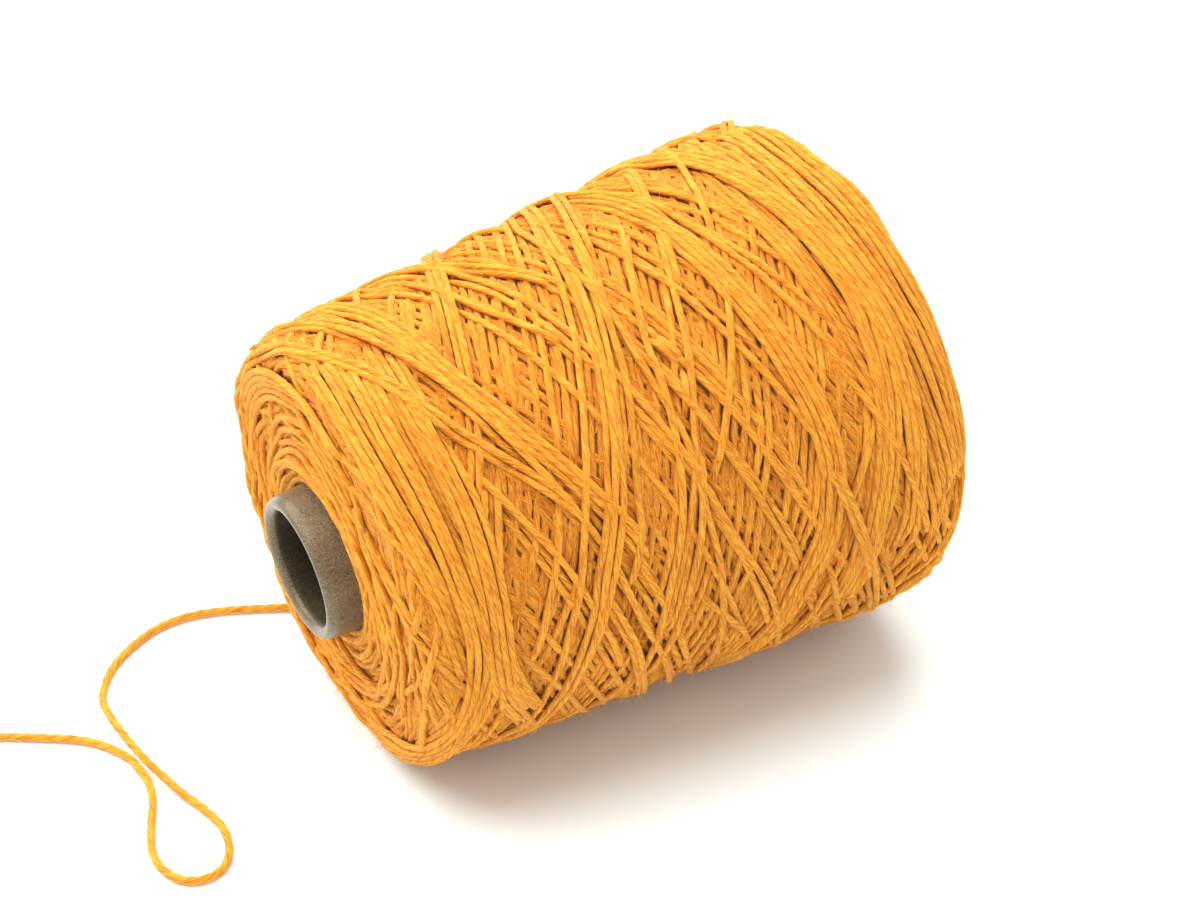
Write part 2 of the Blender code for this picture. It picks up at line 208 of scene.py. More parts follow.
# The strands laid last on the side that shows: how many lie side by side, at which ends they
# dive, and their middle as (degrees from the top, millimetres from the small end). An end that
# doesn't dive is run on.
NEITHER, AT_START, AT_END, BOTH = (False, False), (True, False), (False, True), (True, True)
LAST_STRANDS = (
    (3, NEITHER, ((-130, 29), (-120, 26.5), (-110, 21.2), (-100, 16.2), (-90, 13.5), (-78, 12.5),
        (-70, 13.8), (-60, 16.5), (-50, 20.4), (-40, 25.4), (-30, 29.6))),
    (5, BOTH, ((-124, 32), (-115, 27), (-100, 20.5), (-90, 17.8), (-78, 17), (-70, 18.2), (-60, 20.5),
        (-50, 24), (-40, 29), (-33, 32.5))),
    (4, NEITHER, ((-98, 101), (-90, 106), (-80, 109.5), (-72, 111), (-60, 110), (-50, 108), (-40, 106),
        (-30, 103), (-20, 101), (0, 97), (20, 92))),
    (5, BOTH, ((-92, 147), (-79, 146.4), (-68, 146), (-57, 145.4), (-45, 144.6), (-35, 143.4),
        (-24, 142), (-9, 140.4), (10, 140), (24, 140.4))),
    (6, BOTH, ((-100, 141), (-84, 139.6), (-68, 137.6), (-58, 136), (-46, 134.2), (-37, 132.6),
        (-24, 131), (-6, 130), (18, 131), (34, 132.5))),
    (5, BOTH, ((-96, 132.5), (-84, 131), (-68, 129.2), (-55, 127), (-40, 124.6), (-24, 122.4),
        (-6, 121.2), (10, 122), (26, 124.5), (40, 128))),
    (4, AT_START, ((-120, 112), (-100, 118.5), (-80, 124), (-60, 128.5), (-40, 131), (-20, 129),
        (0, 124.5), (20, 119))),
    (3, AT_START, ((-110, 128), (-90, 132), (-70, 134.5), (-50, 134.5), (-30, 131), (-10, 126),
        (10, 120.5), (30, 113))),
    (2, AT_END, ((-130, 130), (-100, 119), (-80, 112), (-60, 105))),
    (1, AT_END, ((-130, 120.4), (-120, 115.4), (-110, 111.5), (-95, 106.5))),
    (2, BOTH, ((-115, 88.8), (-110, 86), (-100, 78.5), (-94, 74), (-88, 69))),
    (5, BOTH, ((-38, -6), (-20, -4), (0, -2.5), (15, -2.5), (30, -3.5), (45, -4.5), (60, -5), (75, -5.5),
        (100, -6.5))),
    (5, BOTH, ((-97, 12.4), (-80, 10.6), (-67, 9), (-53, 7.2), (-41, 5.6), (-23, 4.6), (-3, 5.4), (12, 7))),
    (5, BOTH, ((-176, 0), (-160, 0), (-146, 0.3), (-136, 1), (-126, 2.6), (-118, 5), (-110, 8), (-102, 11),
        (-92, 13.6), (-80, 14.4), (-73, 14.2), (-57, 13.6), (-43, 12.8), (-27, 11.8), (-9, 12.4), (8, 14))),
    (4, BOTH, ((-111, 19.4), (-87, 17.4), (-68, 18.4), (-52, 19.4), (-34, 19), (-17, 19.6), (-2, 21),
        (12, 24))),
    (2, AT_START, ((-58, 44), (-47, 38.3), (-39, 33.8), (-28, 30), (-20, 27.2), (-10, 24), (0, 21.4),
        (10, 18.2), (20, 14.5))),
    (2, BOTH, ((-72, 52.5), (-60, 45), (-49, 37.3), (-43, 32.3), (-36, 27), (-29, 23), (-21, 19.6),
        (-13, 15.9), (-3, 10.5), (4, 6.9), (13, 3.6), (23, 1.6), (35, 0.5), (48, 0), (62, 0.8), (76, 3),
        (92, 7), (108, 12), (122, 17), (136, 22))),
    (1, AT_START, ((-26, 59.5), (-20, 56), (-10, 50), (0, 44), (10, 41), (20, 38.5))),
    (2, AT_START, ((-14, 69), (-10, 67), (0, 60), (5, 57), (10, 53), (15, 49))),
    (2, BOTH, ((-48, 85.6), (-38, 82), (-28, 77), (-18, 71.5))),
    (3, AT_START, ((-84, 61.5), (-70, 56.8), (-60, 50.5), (-50, 44.8), (-40, 38.5), (-30, 34), (-20, 29.5),
        (0, 26.5), (10, 25), (25, 21.5), (40, 17), (60, 9))),
    (1, BOTH, ((-110, 50.4), (-100, 48), (-90, 44.2), (-80, 40.8), (-70, 36.9), (-60, 31.5), (-50, 27),
        (-40, 23))),
    (2, AT_END, ((-130, 60.4), (-120, 57.3), (-110, 55), (-100, 53), (-90, 49.2), (-80, 45.8), (-70, 42))),
    (1, NEITHER, ((-130, 69.6), (-110, 63.5), (-90, 54.6), (-80, 51.5), (-72, 49), (-60, 43.5))),
    (1, NEITHER, ((-120, 96), (-110, 93.8), (-100, 90.8), (-90, 86), (-80, 81), (-70, 78), (-60, 75))),
    (1, AT_START, ((-100, 40), (-90, 44.5), (-80, 48.5), (-70, 52), (-60, 56), (-45, 61.5))),
    (2, NEITHER, ((-130, 27), (-120, 30.8), (-110, 34.6), (-100, 38.5), (-90, 42), (-80, 45.4),
        (-70, 49.5), (-60, 53.8), (-50, 57.7), (-40, 61), (-30, 64), (-20, 67), (-10, 69.5), (0, 72),
        (15, 76.5))),
    (1, NEITHER, ((-60, 47), (-50, 51.5), (-40, 55.5), (-30, 59.5), (-20, 63), (-10, 66), (5, 71))),
    (1, BOTH, ((-50, 77.7), (-43, 81.2), (-37, 84.6))),
    (1, BOTH, ((-24, 90.8), (-20, 92.3), (-10, 95.9), (-4, 98))),
    (1, BOTH, ((-22, 80.7), (-20, 81.5), (-10, 86), (-4, 89.6), (2, 92))),
    (2, AT_START, ((-15, 74.5), (-10, 76), (0, 79), (10, 82), (20, 86))),
    (1, AT_START, ((-14, 107), (-10, 108.5), (0, 112.3), (13, 117.7), (25, 121))),
    (1, NEITHER, ((-130, 78), (-100, 76.5), (-80, 76), (-60, 75.5), (-40, 74), (-20, 72.5), (0, 71.5),
        (20, 72))),
    (1, BOTH, ((-84, 51.5), (-74, 56.2), (-64, 59.2), (-53, 63.2), (-41, 66.2), (-31, 68.7), (-20, 71.7),
        (-8, 75.5))),
    (1, BOTH, ((-116, 55), (-104, 58.2), (-89, 61.2), (-72, 67.7), (-60, 71.7), (-50, 73.7), (-42, 75.7),
        (-32, 77.2), (-21, 81.2), (-6, 88.1), (6, 93))),
    (1, BOTH, ((-118, 57), (-106, 61.7), (-91, 66.2), (-78, 71.7), (-67, 75.2), (-56, 79))),
    (1, BOTH, ((-67, 77.7), (-60, 82.7), (-50, 89.2), (-40, 95.4), (-30, 100.4), (-21, 103.8))),
)
# The strand laid last of all, which runs on as the loose end.
LAST_OF_ALL = ((-100, 137), (-80, 131), (-60, 123.5), (-30, 113), (0, 101.5), (40, 86), (80, 70),
    (120, 54), (141.8, 45.5))
RUN_ON_SLOPE = 0.37  # millimetres along for each degree around
RUN_ON_STEP = 5.0
RUN_ON_STEPS = 34
RUN_ON_FROM, RUN_ON_TO = 7.0, 143.0
HAND_LAID_FROM = 2.0
HAND_LAID_PAST = 14.0  # how far they may reach past the side's big end
BUNDLE_SPREAD = (0.98, 1.06)
BUNDLE_ENDS = 12  # degrees by which the ends of a bundle's strands differ


# ---- the surface that the yarn is wound on ----

def core_radius(along):
    """Outer radius of the core, at a distance along the axis from the yarn's small end."""
    return NOSE_R + (along + NOSE_OUT) * math.tan(TAPER)


def bore_radius(along):
    """Inner radius of the core, which narrows at the rolled lip."""
    in_from_nose = along + NOSE_OUT
    return core_radius(along) - CORE_WALL - LIP_THICKER * math.exp(-(in_from_nose / LIP_FADE) ** 2)


def core_middle_x():
    """X of the middle of the lying core, counted from where the yarn's small end meets the axis."""
    nose = -NOSE_OUT * math.cos(TAPER) - (NOSE_R - LIP_CREST_IN) * math.sin(TAPER)
    base_along = CORE_LENGTH - NOSE_OUT
    base = base_along * math.cos(TAPER) + core_radius(base_along) * math.sin(TAPER)
    return 0.5 * (nose + base)


AXIS_START = np.array((-core_middle_x(), 0.0, SMALL_R * math.cos(TAPER) - SETTLE))


def on_cone(along, radius, angle):
    """World points in millimetres, from distances along the axis, radii and angles from the top."""
    out = radius * np.cos(angle)
    x = math.cos(TAPER) * along - math.sin(TAPER) * out
    z = math.sin(TAPER) * along + math.cos(TAPER) * out
    return np.stack((x, radius * np.sin(angle), z), axis=-1) + AXIS_START


def outline():
    """Fine points (along, radius) of the yarn's outline, from the small end's hole to the big one's."""
    small_edge_r = SMALL_R + SMALL_SHOULDER * math.tan(TAPER) - SMALL_SHOULDER
    big_edge_r = BIG_R - BIG_SHOULDER * math.tan(TAPER) - BIG_SHOULDER
    quarter = np.linspace(0.0, 0.5 * math.pi, 60)[1:]
    share = np.linspace(0.0, 1.0, 600)[1:]
    small_face = np.linspace(core_radius(0.0) + CLEARANCE, small_edge_r, 120)
    big_face = np.linspace(big_edge_r, core_radius(TRAVERSE) + CLEARANCE, 120)[1:]
    side_along = SMALL_SHOULDER + SIDE_LENGTH * share
    along = np.concatenate((
        np.zeros_like(small_face),
        SMALL_SHOULDER * (1.0 - np.cos(quarter)),
        side_along,
        TRAVERSE - BIG_SHOULDER * (1.0 - np.sin(quarter)),
        np.full_like(big_face, TRAVERSE),
    ))
    radius = np.concatenate((
        small_face,
        small_edge_r + SMALL_SHOULDER * np.sin(quarter),
        SMALL_R + side_along * math.tan(TAPER) + BELLY * 4.0 * share * (1.0 - share),
        big_edge_r + BIG_SHOULDER * np.cos(quarter),
        big_face,
    ))
    return along, radius


def soften(values, reach):
    """Values in a row, each made the mean of those within reach of it."""
    padded = np.pad(values, reach, mode="edge")
    return np.convolve(padded, np.full(2 * reach + 1, 1.0 / (2 * reach + 1)), mode="valid")


def running_total(lengths):
    """Distance travelled at each point of a path, from the lengths between its points."""
    return np.concatenate(((0.0,), np.cumsum(lengths)))


class Winding:
    """The yarn laid so far: its strands, and the height of their tops on a grid of cells.

    A path is a strand's angles around the cone and its places along the outline.
    """

    def __init__(self):
        along, radius = outline()
        travelled = running_total(np.hypot(np.diff(along), np.diff(radius)))
        self.length = travelled[-1]
        self.place = np.arange(0.0, self.length, CELL)
        self.along = np.interp(self.place, travelled, along)
        self.radius = np.interp(self.place, travelled, radius)
        slope = np.arctan2(np.gradient(self.radius), np.gradient(self.along))
        slope = soften(np.unwrap(slope), 3)
        self.normal_along = -np.sin(slope)
        self.normal_out = np.cos(slope)
        self.bend = -np.gradient(slope, CELL)
        self.height = np.full((len(self.place), CELLS_AROUND), -BASE_DEPTH)
        self.owner = np.full(self.height.shape, -1)
        self.settled = self.height.copy()
        self.strands = []
        side = np.nonzero((self.along > SMALL_SHOULDER) & (self.along < TRAVERSE - BIG_SHOULDER))[0]
        self.side_start = self.place[side[0]]
        self.side_end = self.place[side[-1]]
        self.face_edge = self.place[np.nonzero(self.along > 0.0)[0][0] - 1]

    def read(self, values, place):
        """Values of the outline, such as its radius, at places along it."""
        return np.interp(place, self.place, values)

    def place_of(self, along):
        """Places from distances along the axis, which run on under 0 over the small end's face."""
        return np.where(along < 0.0, self.face_edge + along, np.interp(along, self.along, self.place))

    def cells(self, path):
        """Rows and columns of the cells that a path's points lie in."""
        angle, place = path
        rows = np.clip(np.rint(place / CELL).astype(int), 0, len(self.place) - 1)
        columns = np.rint(angle / TURN * CELLS_AROUND).astype(int) % CELLS_AROUND
        return rows, columns

    def spaced(self, path):
        """The same path with its points a ring's step apart."""
        angle, place = path
        radius = self.read(self.radius, 0.5 * (place[1:] + place[:-1]))
        travelled = running_total(np.hypot(radius * np.diff(angle), np.diff(place)))
        wanted = np.arange(0.0, travelled[-1], RING_STEP)
        return np.interp(wanted, travelled, angle), np.interp(wanted, travelled, place)

    def across(self, path):
        """Unit vector across a path, around the cone and along the outline, and the cone's radius."""
        angle, place = path
        radius = self.read(self.radius, place)
        around = radius * np.gradient(angle)
        onward = np.gradient(place)
        size = np.hypot(around, onward)
        return -onward / size, around / size, radius

    def moved(self, path, across, offset):
        """The path moved sideways."""
        side_around, side_onward, radius = across
        return path[0] + offset * side_around / radius, path[1] + offset * side_onward

    def support_at(self, path, offset, press):
        """Height at which a strand would rest, once it has slid sideways by an offset."""
        across = self.across(path)
        support = np.full(len(path[0]), -BASE_DEPTH)
        for share in SUPPORT_SHARES:
            edge = share * PACKED_R
            room = press * math.sqrt(PACKED_R ** 2 - edge ** 2)
            under = self.height[self.cells(self.moved(path, across, edge + offset))]
            support = np.maximum(support, under + room)
        return support

    def slid(self, path, press):
        """The path moved sideways into the valleys beside it, by the least total height."""
        rings = len(path[0])
        count = rings // SLIDE_EVERY
        if count < 3:
            return path
        heights = np.stack([self.support_at(path, offset, press) for offset in SLIDES])
        heights = heights[:, :count * SLIDE_EVERY].reshape(len(SLIDES), count, SLIDE_EVERY).mean(axis=2)
        heights += SLIDE_COST * SLIDES[:, None] ** 2
        step_cost = SLIDE_CHANGE_COST * (SLIDES[:, None] - SLIDES[None, :]) ** 2
        total = heights[:, 0]
        choices = []
        for index in range(1, count):
            options = total[None, :] + step_cost
            best = options.argmin(axis=1)
            choices.append(best)
            total = options[np.arange(len(SLIDES)), best] + heights[:, index]
        state = int(total.argmin())
        states = [state]
        for best in reversed(choices):
            state = int(best[state])
            states.append(state)
        offsets = SLIDES[np.array(states[::-1])]
        middles = (np.arange(count) + 0.5) * SLIDE_EVERY
        offset = soften(np.interp(np.arange(rings), middles, offsets), 4)
        offset = offset * np.clip(rings_to_end(rings) / SLIDE_END_RINGS, 0.0, 1.0)
        return self.moved(path, self.across(path), offset)

    def taut(self, support, path, held_start):
        """Heights of a strand pulled tight over its supports, on a surface that curves away."""
        side_around, side_onward, radius = self.across(path)
        curve = side_onward ** 2 * self.read(self.normal_out, path[1]) / radius
        curve += side_around ** 2 * self.read(self.bend, path[1])
        drop = 0.5 * np.clip(curve, LEAST_CURVE, MOST_CURVE)[1:-1] * RING_STEP ** 2
        height = support.copy()
        if held_start is not None:
            height[0] = held_start
        for _ in range(TAUT_PASSES):
            bridged = 0.5 * (height[:-2] + height[2:]) - drop
            height[1:-1] = np.maximum(support[1:-1], bridged)
        height = np.minimum(height, soften(support, 3) + BRIDGE)
        smooth = soften(soften(height, 2), 2)
        if held_start is not None:
            fade = np.clip(np.arange(len(height)) / HELD_RINGS, 0.0, 1.0)
            smooth = height[0] + fade * (smooth - height[0])
        return smooth

    def lay(self, path, dives=BOTH, held_start=None, group="winding", press=PRESS, slides=True):
        """Lays one strand on what is there, with its ends diving under it or not."""
        path = self.spaced(path)
        if len(path[0]) < FEWEST_RINGS:
            return None
        if slides:
            path = self.slid(path, press)
        height = self.taut(self.support_at(path, 0.0, press), path, held_start)
        travelled = RING_STEP * np.arange(len(height))
        for dive, from_end in zip(dives, (travelled, travelled[-1] - travelled)):
            if dive:
                height -= DIVE_DEPTH * np.clip(1.0 - from_end / DIVE_LENGTH, 0.0, 1.0) ** 2
        self.deposit(path, height)
        self.strands.append({"path": path, "height": height, "group": group})
        return height[-1]

    def deposit(self, path, height):
        """Raises the cells under a strand to its top, and makes it their owner."""
        fine = np.arange(0.0, len(height) - 1, 1.0 / 3.0)
        index = np.arange(len(height))
        *path, height = (np.interp(fine, index, values) for values in (*path, height))
        across = self.across(path)
        for share in TOP_SHARES:
            offset = share * PACKED_R
            rows, columns = self.cells(self.moved(path, across, offset))
            top = height + TOP_PRESS * math.sqrt(PACKED_R ** 2 - offset ** 2)
            higher = top > self.height[rows, columns]
            np.maximum.at(self.height, (rows, columns), top)
            self.owner[rows[higher], columns[higher]] = len(self.strands)

    def mean_height(self, path):
        """Mean height of what lies under a path."""
        return float(self.height[self.cells(path)].mean())

    def smoothed(self, field, reach):
        """A field smoothed over a distance in millimetres."""
        rows = len(self.place)
        edge = int(4 * reach / CELL)
        padded = np.pad(field, ((edge, edge), (0, 0)), mode="edge")
        down = np.fft.fftfreq(padded.shape[0], CELL)[:, None]
        around = np.fft.fftfreq(CELLS_AROUND, TURN * SMALL_R / CELLS_AROUND)[None, :]
        keep = np.exp(-2.0 * (math.pi * reach) ** 2 * (down ** 2 + around ** 2))
        return np.fft.ifft2(np.fft.fft2(padded) * keep).real[edge:edge + rows]

    def between(self, field, path):
        """A field's values at a path's points, between its cells."""
        row = np.clip(path[1] / CELL, 0.0, len(self.place) - 1.001)
        column = path[0] / TURN * CELLS_AROUND
        low_row = np.floor(row).astype(int)
        low_column = np.floor(column).astype(int)
        row_share = row - low_row
        column_share = column - low_column
        total = 0.0
        for i in (0, 1):
            for j in (0, 1):
                weight = np.abs(1 - i - row_share) * np.abs(1 - j - column_share)
                total = total + weight * field[low_row + i, (low_column + j) % CELLS_AROUND]
        return total

    def settle(self):
        """Presses what has been laid flatter, as the yarn over it does."""
        smooth = self.smoothed(self.height, SETTLE_REACH)
        covered = smooth - self.smoothed(self.settled, SETTLE_REACH)
        kept = 1.0 - (1.0 - SETTLED) * np.clip(covered, 0.0, 1.0)
        for strand in self.strands:
            around = self.between(smooth, strand["path"]) - TOP_PRESS * PACKED_R
            share = self.between(kept, strand["path"])
            strand["height"] = around + share * (strand["height"] - around)
        self.height = smooth + kept * (self.height - smooth)
        self.settled = self.height.copy()

    def hole_sink(self, place):
        """How much lower the yarn lies near the core than the part's surface."""
        return HOLE_SINK * np.exp(-self.to_hole(place) / HOLE_REACH)

    def to_hole(self, place):
        """Distance along the outline to the nearer of the core's two holes."""
        return np.minimum(place, self.length - place)

    def points(self, path, height):
        """World points in millimetres at heights over the surface."""
        angle, place = path
        along = self.read(self.along, place) + height * self.read(self.normal_along, place)
        radius = self.read(self.radius, place) + height * self.read(self.normal_out, place)
        return on_cone(along, radius, angle)

    def shown(self, number):
        """Which points of a strand lie on top somewhere across it, with a little to spare."""
        path = self.strands[number]["path"]
        across = self.across(path)
        seen = np.zeros(len(path[0]), bool)
        for share in SHOWN_SHARES:
            seen |= self.owner[self.cells(self.moved(path, across, share * PACKED_R))] == number
        grown = seen.copy()
        for reach in (1, 2):
            grown[reach:] |= seen[:-reach]
            grown[:-reach] |= seen[reach:]
        return grown


def rings_to_end(count):
    """How many rings each ring of a strand is from the nearer end."""
    return np.minimum(np.arange(count), np.arange(count)[::-1])


# ---- paths of the strands ----

def stroke_path(low, high, angle, turns, rising, start, end):
    """One stroke from end to end. Its turns are rounded by a lag, and sag onto the end face."""
    share = np.linspace(0.0, 1.0, 500)
    around = TURN * turns * share
    run = (high - low) * share
    left = (high - low) - run
    inward = np.hypot(run, start["lag"]) - run
    inward -= start["sag"] * np.exp(-(around / start["width"]) ** 2)
    inward_end = np.hypot(left, end["lag"]) - left
    inward_end -= end["sag"] * np.exp(-((around[-1] - around) / end["width"]) ** 2)
    places = low + run + inward - inward_end if rising else high - run - inward + inward_end
    return angle + around, places


def new_turn(rng, most):
    """How a stroke turns back: its rounding, how far it sags onto the end face, and over what angle."""
    on_shoulder = rng.random() < TURNS_ON_SHOULDER
    sag = rng.uniform(0.0, SHOULDER_SAG) if on_shoulder else rng.uniform(SHOULDER_SAG, most)
    usual = rng.random() < USUAL_TURNS
    lag = rng.uniform(SHARP_LAG, USUAL_LAG) if usual else rng.uniform(USUAL_LAG, WIDE_LAG)
    return {"lag": lag, "sag": sag, "width": LEAST_WIDTH + sag / SAG_WIDER}


def wave(rng, angles, waves_in_turn):
    """A sine wave around the cone, of a random length and start."""
    return np.sin(angles * rng.uniform(*waves_in_turn) + rng.uniform(0.0, 6.0))


def wind_strokes(winding, rng):
    """Back and forth strokes over the whole side, the way a winder lays them."""
    angle = rng.uniform(0.0, TURN)
    low, high = winding.side_start - PAST_SMALL, winding.side_end + PAST_BIG
    sags = {True: winding.length - high - FACE_ROOM, False: low - FACE_ROOM}
    held = None
    start = new_turn(rng, sags[False])
    left_in_ribbon = int(rng.integers(*RIBBON_STROKES))
    for stroke in range(STROKES):
        rising = stroke % 2 == 0
        turns = STROKE_TURNS + rng.normal(0.0, TURNS_STRAY)
        left_in_ribbon -= 1
        if left_in_ribbon == 0:
            left_in_ribbon = int(rng.integers(*RIBBON_STROKES))
            turns += lowest_shift(winding, low, high, angle, turns, rising)
        end = new_turn(rng, sags[rising])
        angles, places = stroke_path(low, high, angle, turns, rising, start, end)
        ripple = wave(rng, angles, LONG_WAVES)
        ripple += 0.5 * wave(rng, angles, SHORT_WAVES)
        places = places + STRAY * ripple * np.sin(math.pi * np.linspace(0.0, 1.0, len(places)))
        places = np.clip(places, 1.0, winding.length - 1.0)
        group = "under" if stroke < UNDER_STROKES else "winding"
        held = winding.lay((angles, places), NEITHER, held, group)
        angle = angles[-1]
        start = end
        if stroke % SETTLE_EVERY == SETTLE_EVERY - 1:
            winding.settle()
            held = None


def lowest_shift(winding, low, high, angle, turns, rising):
    """By how much of a turn to end a stroke elsewhere, for the next one to lie where it is low."""
    found = []
    for shift in RIBBON_SHIFTS:
        next_start = angle + TURN * (turns + shift)
        path = stroke_path(low, high, next_start, turns, not rising, PLAIN_TURN, PLAIN_TURN)
        found.append((winding.mean_height(path), shift))
    return min(found)[1]


def run_on(degrees, alongs):
    """A strand's path run on past its last point: on at the winding's slope, back from the edge."""
    degree, along = degrees[-1], alongs[-1]
    side = 1.0 if degree > degrees[-2] else -1.0
    rise = math.copysign(RUN_ON_STEP * RUN_ON_SLOPE, along - alongs[-2])
    more_degrees, more_alongs = [], []
    for _ in range(RUN_ON_STEPS):
        degree += RUN_ON_STEP * side
        along += rise
        if along < RUN_ON_FROM or along > RUN_ON_TO:
            rise = -rise
            along += rise
        more_degrees.append(degree)
        more_alongs.append(along)
    return np.append(degrees, more_degrees), np.append(alongs, more_alongs)


def wind_hand_laid(winding, rng):
    """The last strands, as they show: each row is run on past its ends where it doesn't dive."""
    for count, dives, points in LAST_STRANDS:
        degrees, alongs = np.array(points, float).T
        if not dives[0]:
            degrees, alongs = (values[::-1] for values in run_on(degrees[::-1], alongs[::-1]))
        if not dives[1]:
            degrees, alongs = run_on(degrees, alongs)
        fine = np.arange(degrees[0], degrees[-1], 1.0)
        angles = np.radians(fine)
        middle = winding.place_of(soften(soften(np.interp(fine, degrees, alongs), 4), 4))
        middle += STRAY * wave(rng, angles, BUNDLE_WAVES)
        for number in range(count):
            beside = (number - 0.5 * (count - 1)) * 2.0 * PACKED_R * rng.uniform(*BUNDLE_SPREAD)
            places = middle + beside + OWN_STRAY * wave(rng, angles, BUNDLE_WAVES)
            places = np.clip(places, HAND_LAID_FROM, winding.side_end + HAND_LAID_PAST)
            cut = int(rng.integers(0, BUNDLE_ENDS)) if count > 1 else 0
            kept = slice(cut, len(fine) - cut)
            winding.lay((angles[kept], places[kept]), press=TOP_HOLD, slides=count == 1)

    degrees, alongs = np.array(LAST_OF_ALL).T
    fine = np.append(np.arange(degrees[0], degrees[-1], 1.0), degrees[-1])
    places = winding.place_of(soften(np.interp(fine, degrees, alongs), 4))
    winding.lay((np.radians(fine), places), AT_START, press=TOP_HOLD)
    winding.strands[-1]["joins"] = np.array(TAIL_ROUTE_MM[0])


def wind_end_arcs(winding, rng, low, high, side_sign, count, group):
    """Short arcs nearly around the axis on an end face and its shoulder, laid where it is low."""
    span = np.linspace(-1.0, 1.0, 120)
    spread = np.linspace(low, high, 60)
    radii = winding.read(winding.radius, spread)
    for number in range(count):
        found = []
        run = rng.uniform(*ARC_HALVES) * span
        lean = rng.normal(0.0, ARC_LEAN)
        opening = abs(rng.normal(0.0, ARC_OPENING))
        bowed = np.sqrt((opening * run) ** 2 + ARC_BOW ** 2) - ARC_BOW
        for _ in range(ARC_TRIES):
            place = rng.choice(spread, p=radii / radii.sum()) + rng.uniform(-ARC_STRAY, ARC_STRAY)
            radius = float(winding.read(winding.radius, place))
            angles = rng.uniform(0.0, TURN) + run / radius
            places = np.clip(place + lean * run + side_sign * bowed, 1.0, winding.length - 1.0)
            found.append((angles, places))
        winding.lay(min(found, key=winding.mean_height), group=group, press=ARC_HOLD)
        if number % ARC_SETTLE_EVERY == ARC_SETTLE_EVERY - 1 and number < count - ARC_SETTLE_EVERY:
            winding.settle()


# ---- meshes ----

def unit(vectors):
    """The same vectors, each of length 1."""
    return vectors / np.linalg.norm(vectors, axis=1)[:, None]


def axes_along(centres, normals):
    """Unit vectors onward, outward and sideways at each point of a strand."""
    onward = unit(np.gradient(centres, axis=0))
    outward = unit(normals - onward * np.sum(normals * onward, axis=1)[:, None])
    return onward, outward, np.cross(onward, outward)


def ring_sizes(sides, groove=GROOVE):
    """Radius of each corner of a ring, as a share of the strand's: two lobes and two grooves."""
    return 1.0 - groove * np.sin(TURN * np.arange(sides) / sides) ** 2


def ply_values(count, sides=STRAND_SIDES):
    """For each corner of a strand's rings, 0 in the groove between its plies to 1 on top of them."""
    sizes = ring_sizes(sides)
    return np.tile((sizes - sizes.min()) / (sizes.max() - sizes.min()), count)


def grid_mesh(rows, columns, closed=True):
    """Triangles between rows that are each a closed ring of columns, and their map spots."""
    i = np.arange(rows if closed else rows - 1)[:, None]
    j = np.arange(columns)[None, :]
    right = (j + 1) % columns
    next_row = (i + 1) % rows * columns
    a, b, c, d = i * columns + j, i * columns + right, next_row + right, next_row + j
    triangles = np.stack((np.stack((a, b, c), -1), np.stack((a, c, d), -1)), axis=2).reshape(-1, 3)
    i, j = np.broadcast_arrays(i, j)
    corners = ((0, 0), (0, 1), (1, 1), (0, 0), (1, 1), (1, 0))
    spots = np.stack([np.stack((i + down, j + across), -1) for down, across in corners], axis=2)
    return triangles, spots.reshape(-1, 3, 2).astype(float)


def strand_mesh(centres, normals, first_ring, radius, sides=STRAND_SIDES, flattened=1.0, groove=GROOVE):
    """Corners, triangles, corners of the same strand laid straight, and map spots, in metres."""
    count = len(centres)
    _, outward, sideways = axes_along(centres, normals)
    ring = (np.arange(count) + first_ring)[:, None]
    phase = TURN * (np.arange(sides)[None, :] - ring) / sides
    sizes = ring_sizes(sides, groove)[None, :] * radius[:, None]
    points = centres[:, None, :] + sizes[..., None] * (
        flattened * np.cos(phase)[..., None] * outward[:, None, :]
        + np.sin(phase)[..., None] * sideways[:, None, :]
    )
    straight = np.stack((
        radius[:, None] * np.cos(phase),
        radius[:, None] * np.sin(phase),
        np.broadcast_to(ring * (PLY_TURN / sides) * MM, phase.shape),
    ), axis=-1)
    walls, wall_spots = grid_mesh(count, sides, closed=False)
    fan = np.arange(1, sides - 1)
    zero = np.zeros_like(fan)
    start_cap = np.stack((zero, fan + 1, fan), -1)
    end_cap = np.stack((zero, fan, fan + 1), -1) + (count - 1) * sides
    cap_spots = np.stack([
        np.stack((np.full(len(fan), count - 1 + across), fan - 1.0 + up), -1)
        for across, up in ((0.1, 0.1), (0.45, 0.1), (0.1, 0.9), (0.55, 0.1), (0.9, 0.1), (0.55, 0.9))
    ], axis=1)
    triangles = np.concatenate((walls, start_cap, end_cap))
    spots = np.concatenate((wall_spots, cap_spots[:, :3], cap_spots[:, 3:]))
    return points.reshape(-1, 3), triangles, straight.reshape(-1, 3), spots


def put(collection, field, values, kind=np.float32):
    """Sets a field of everything in a collection at once."""
    collection.foreach_set(field, values.astype(kind).ravel())


def add_object(name, data):
    """A new object in the scene."""
    added = bpy.data.objects.new(name, data)
    bpy.context.scene.collection.objects.link(added)
    return added


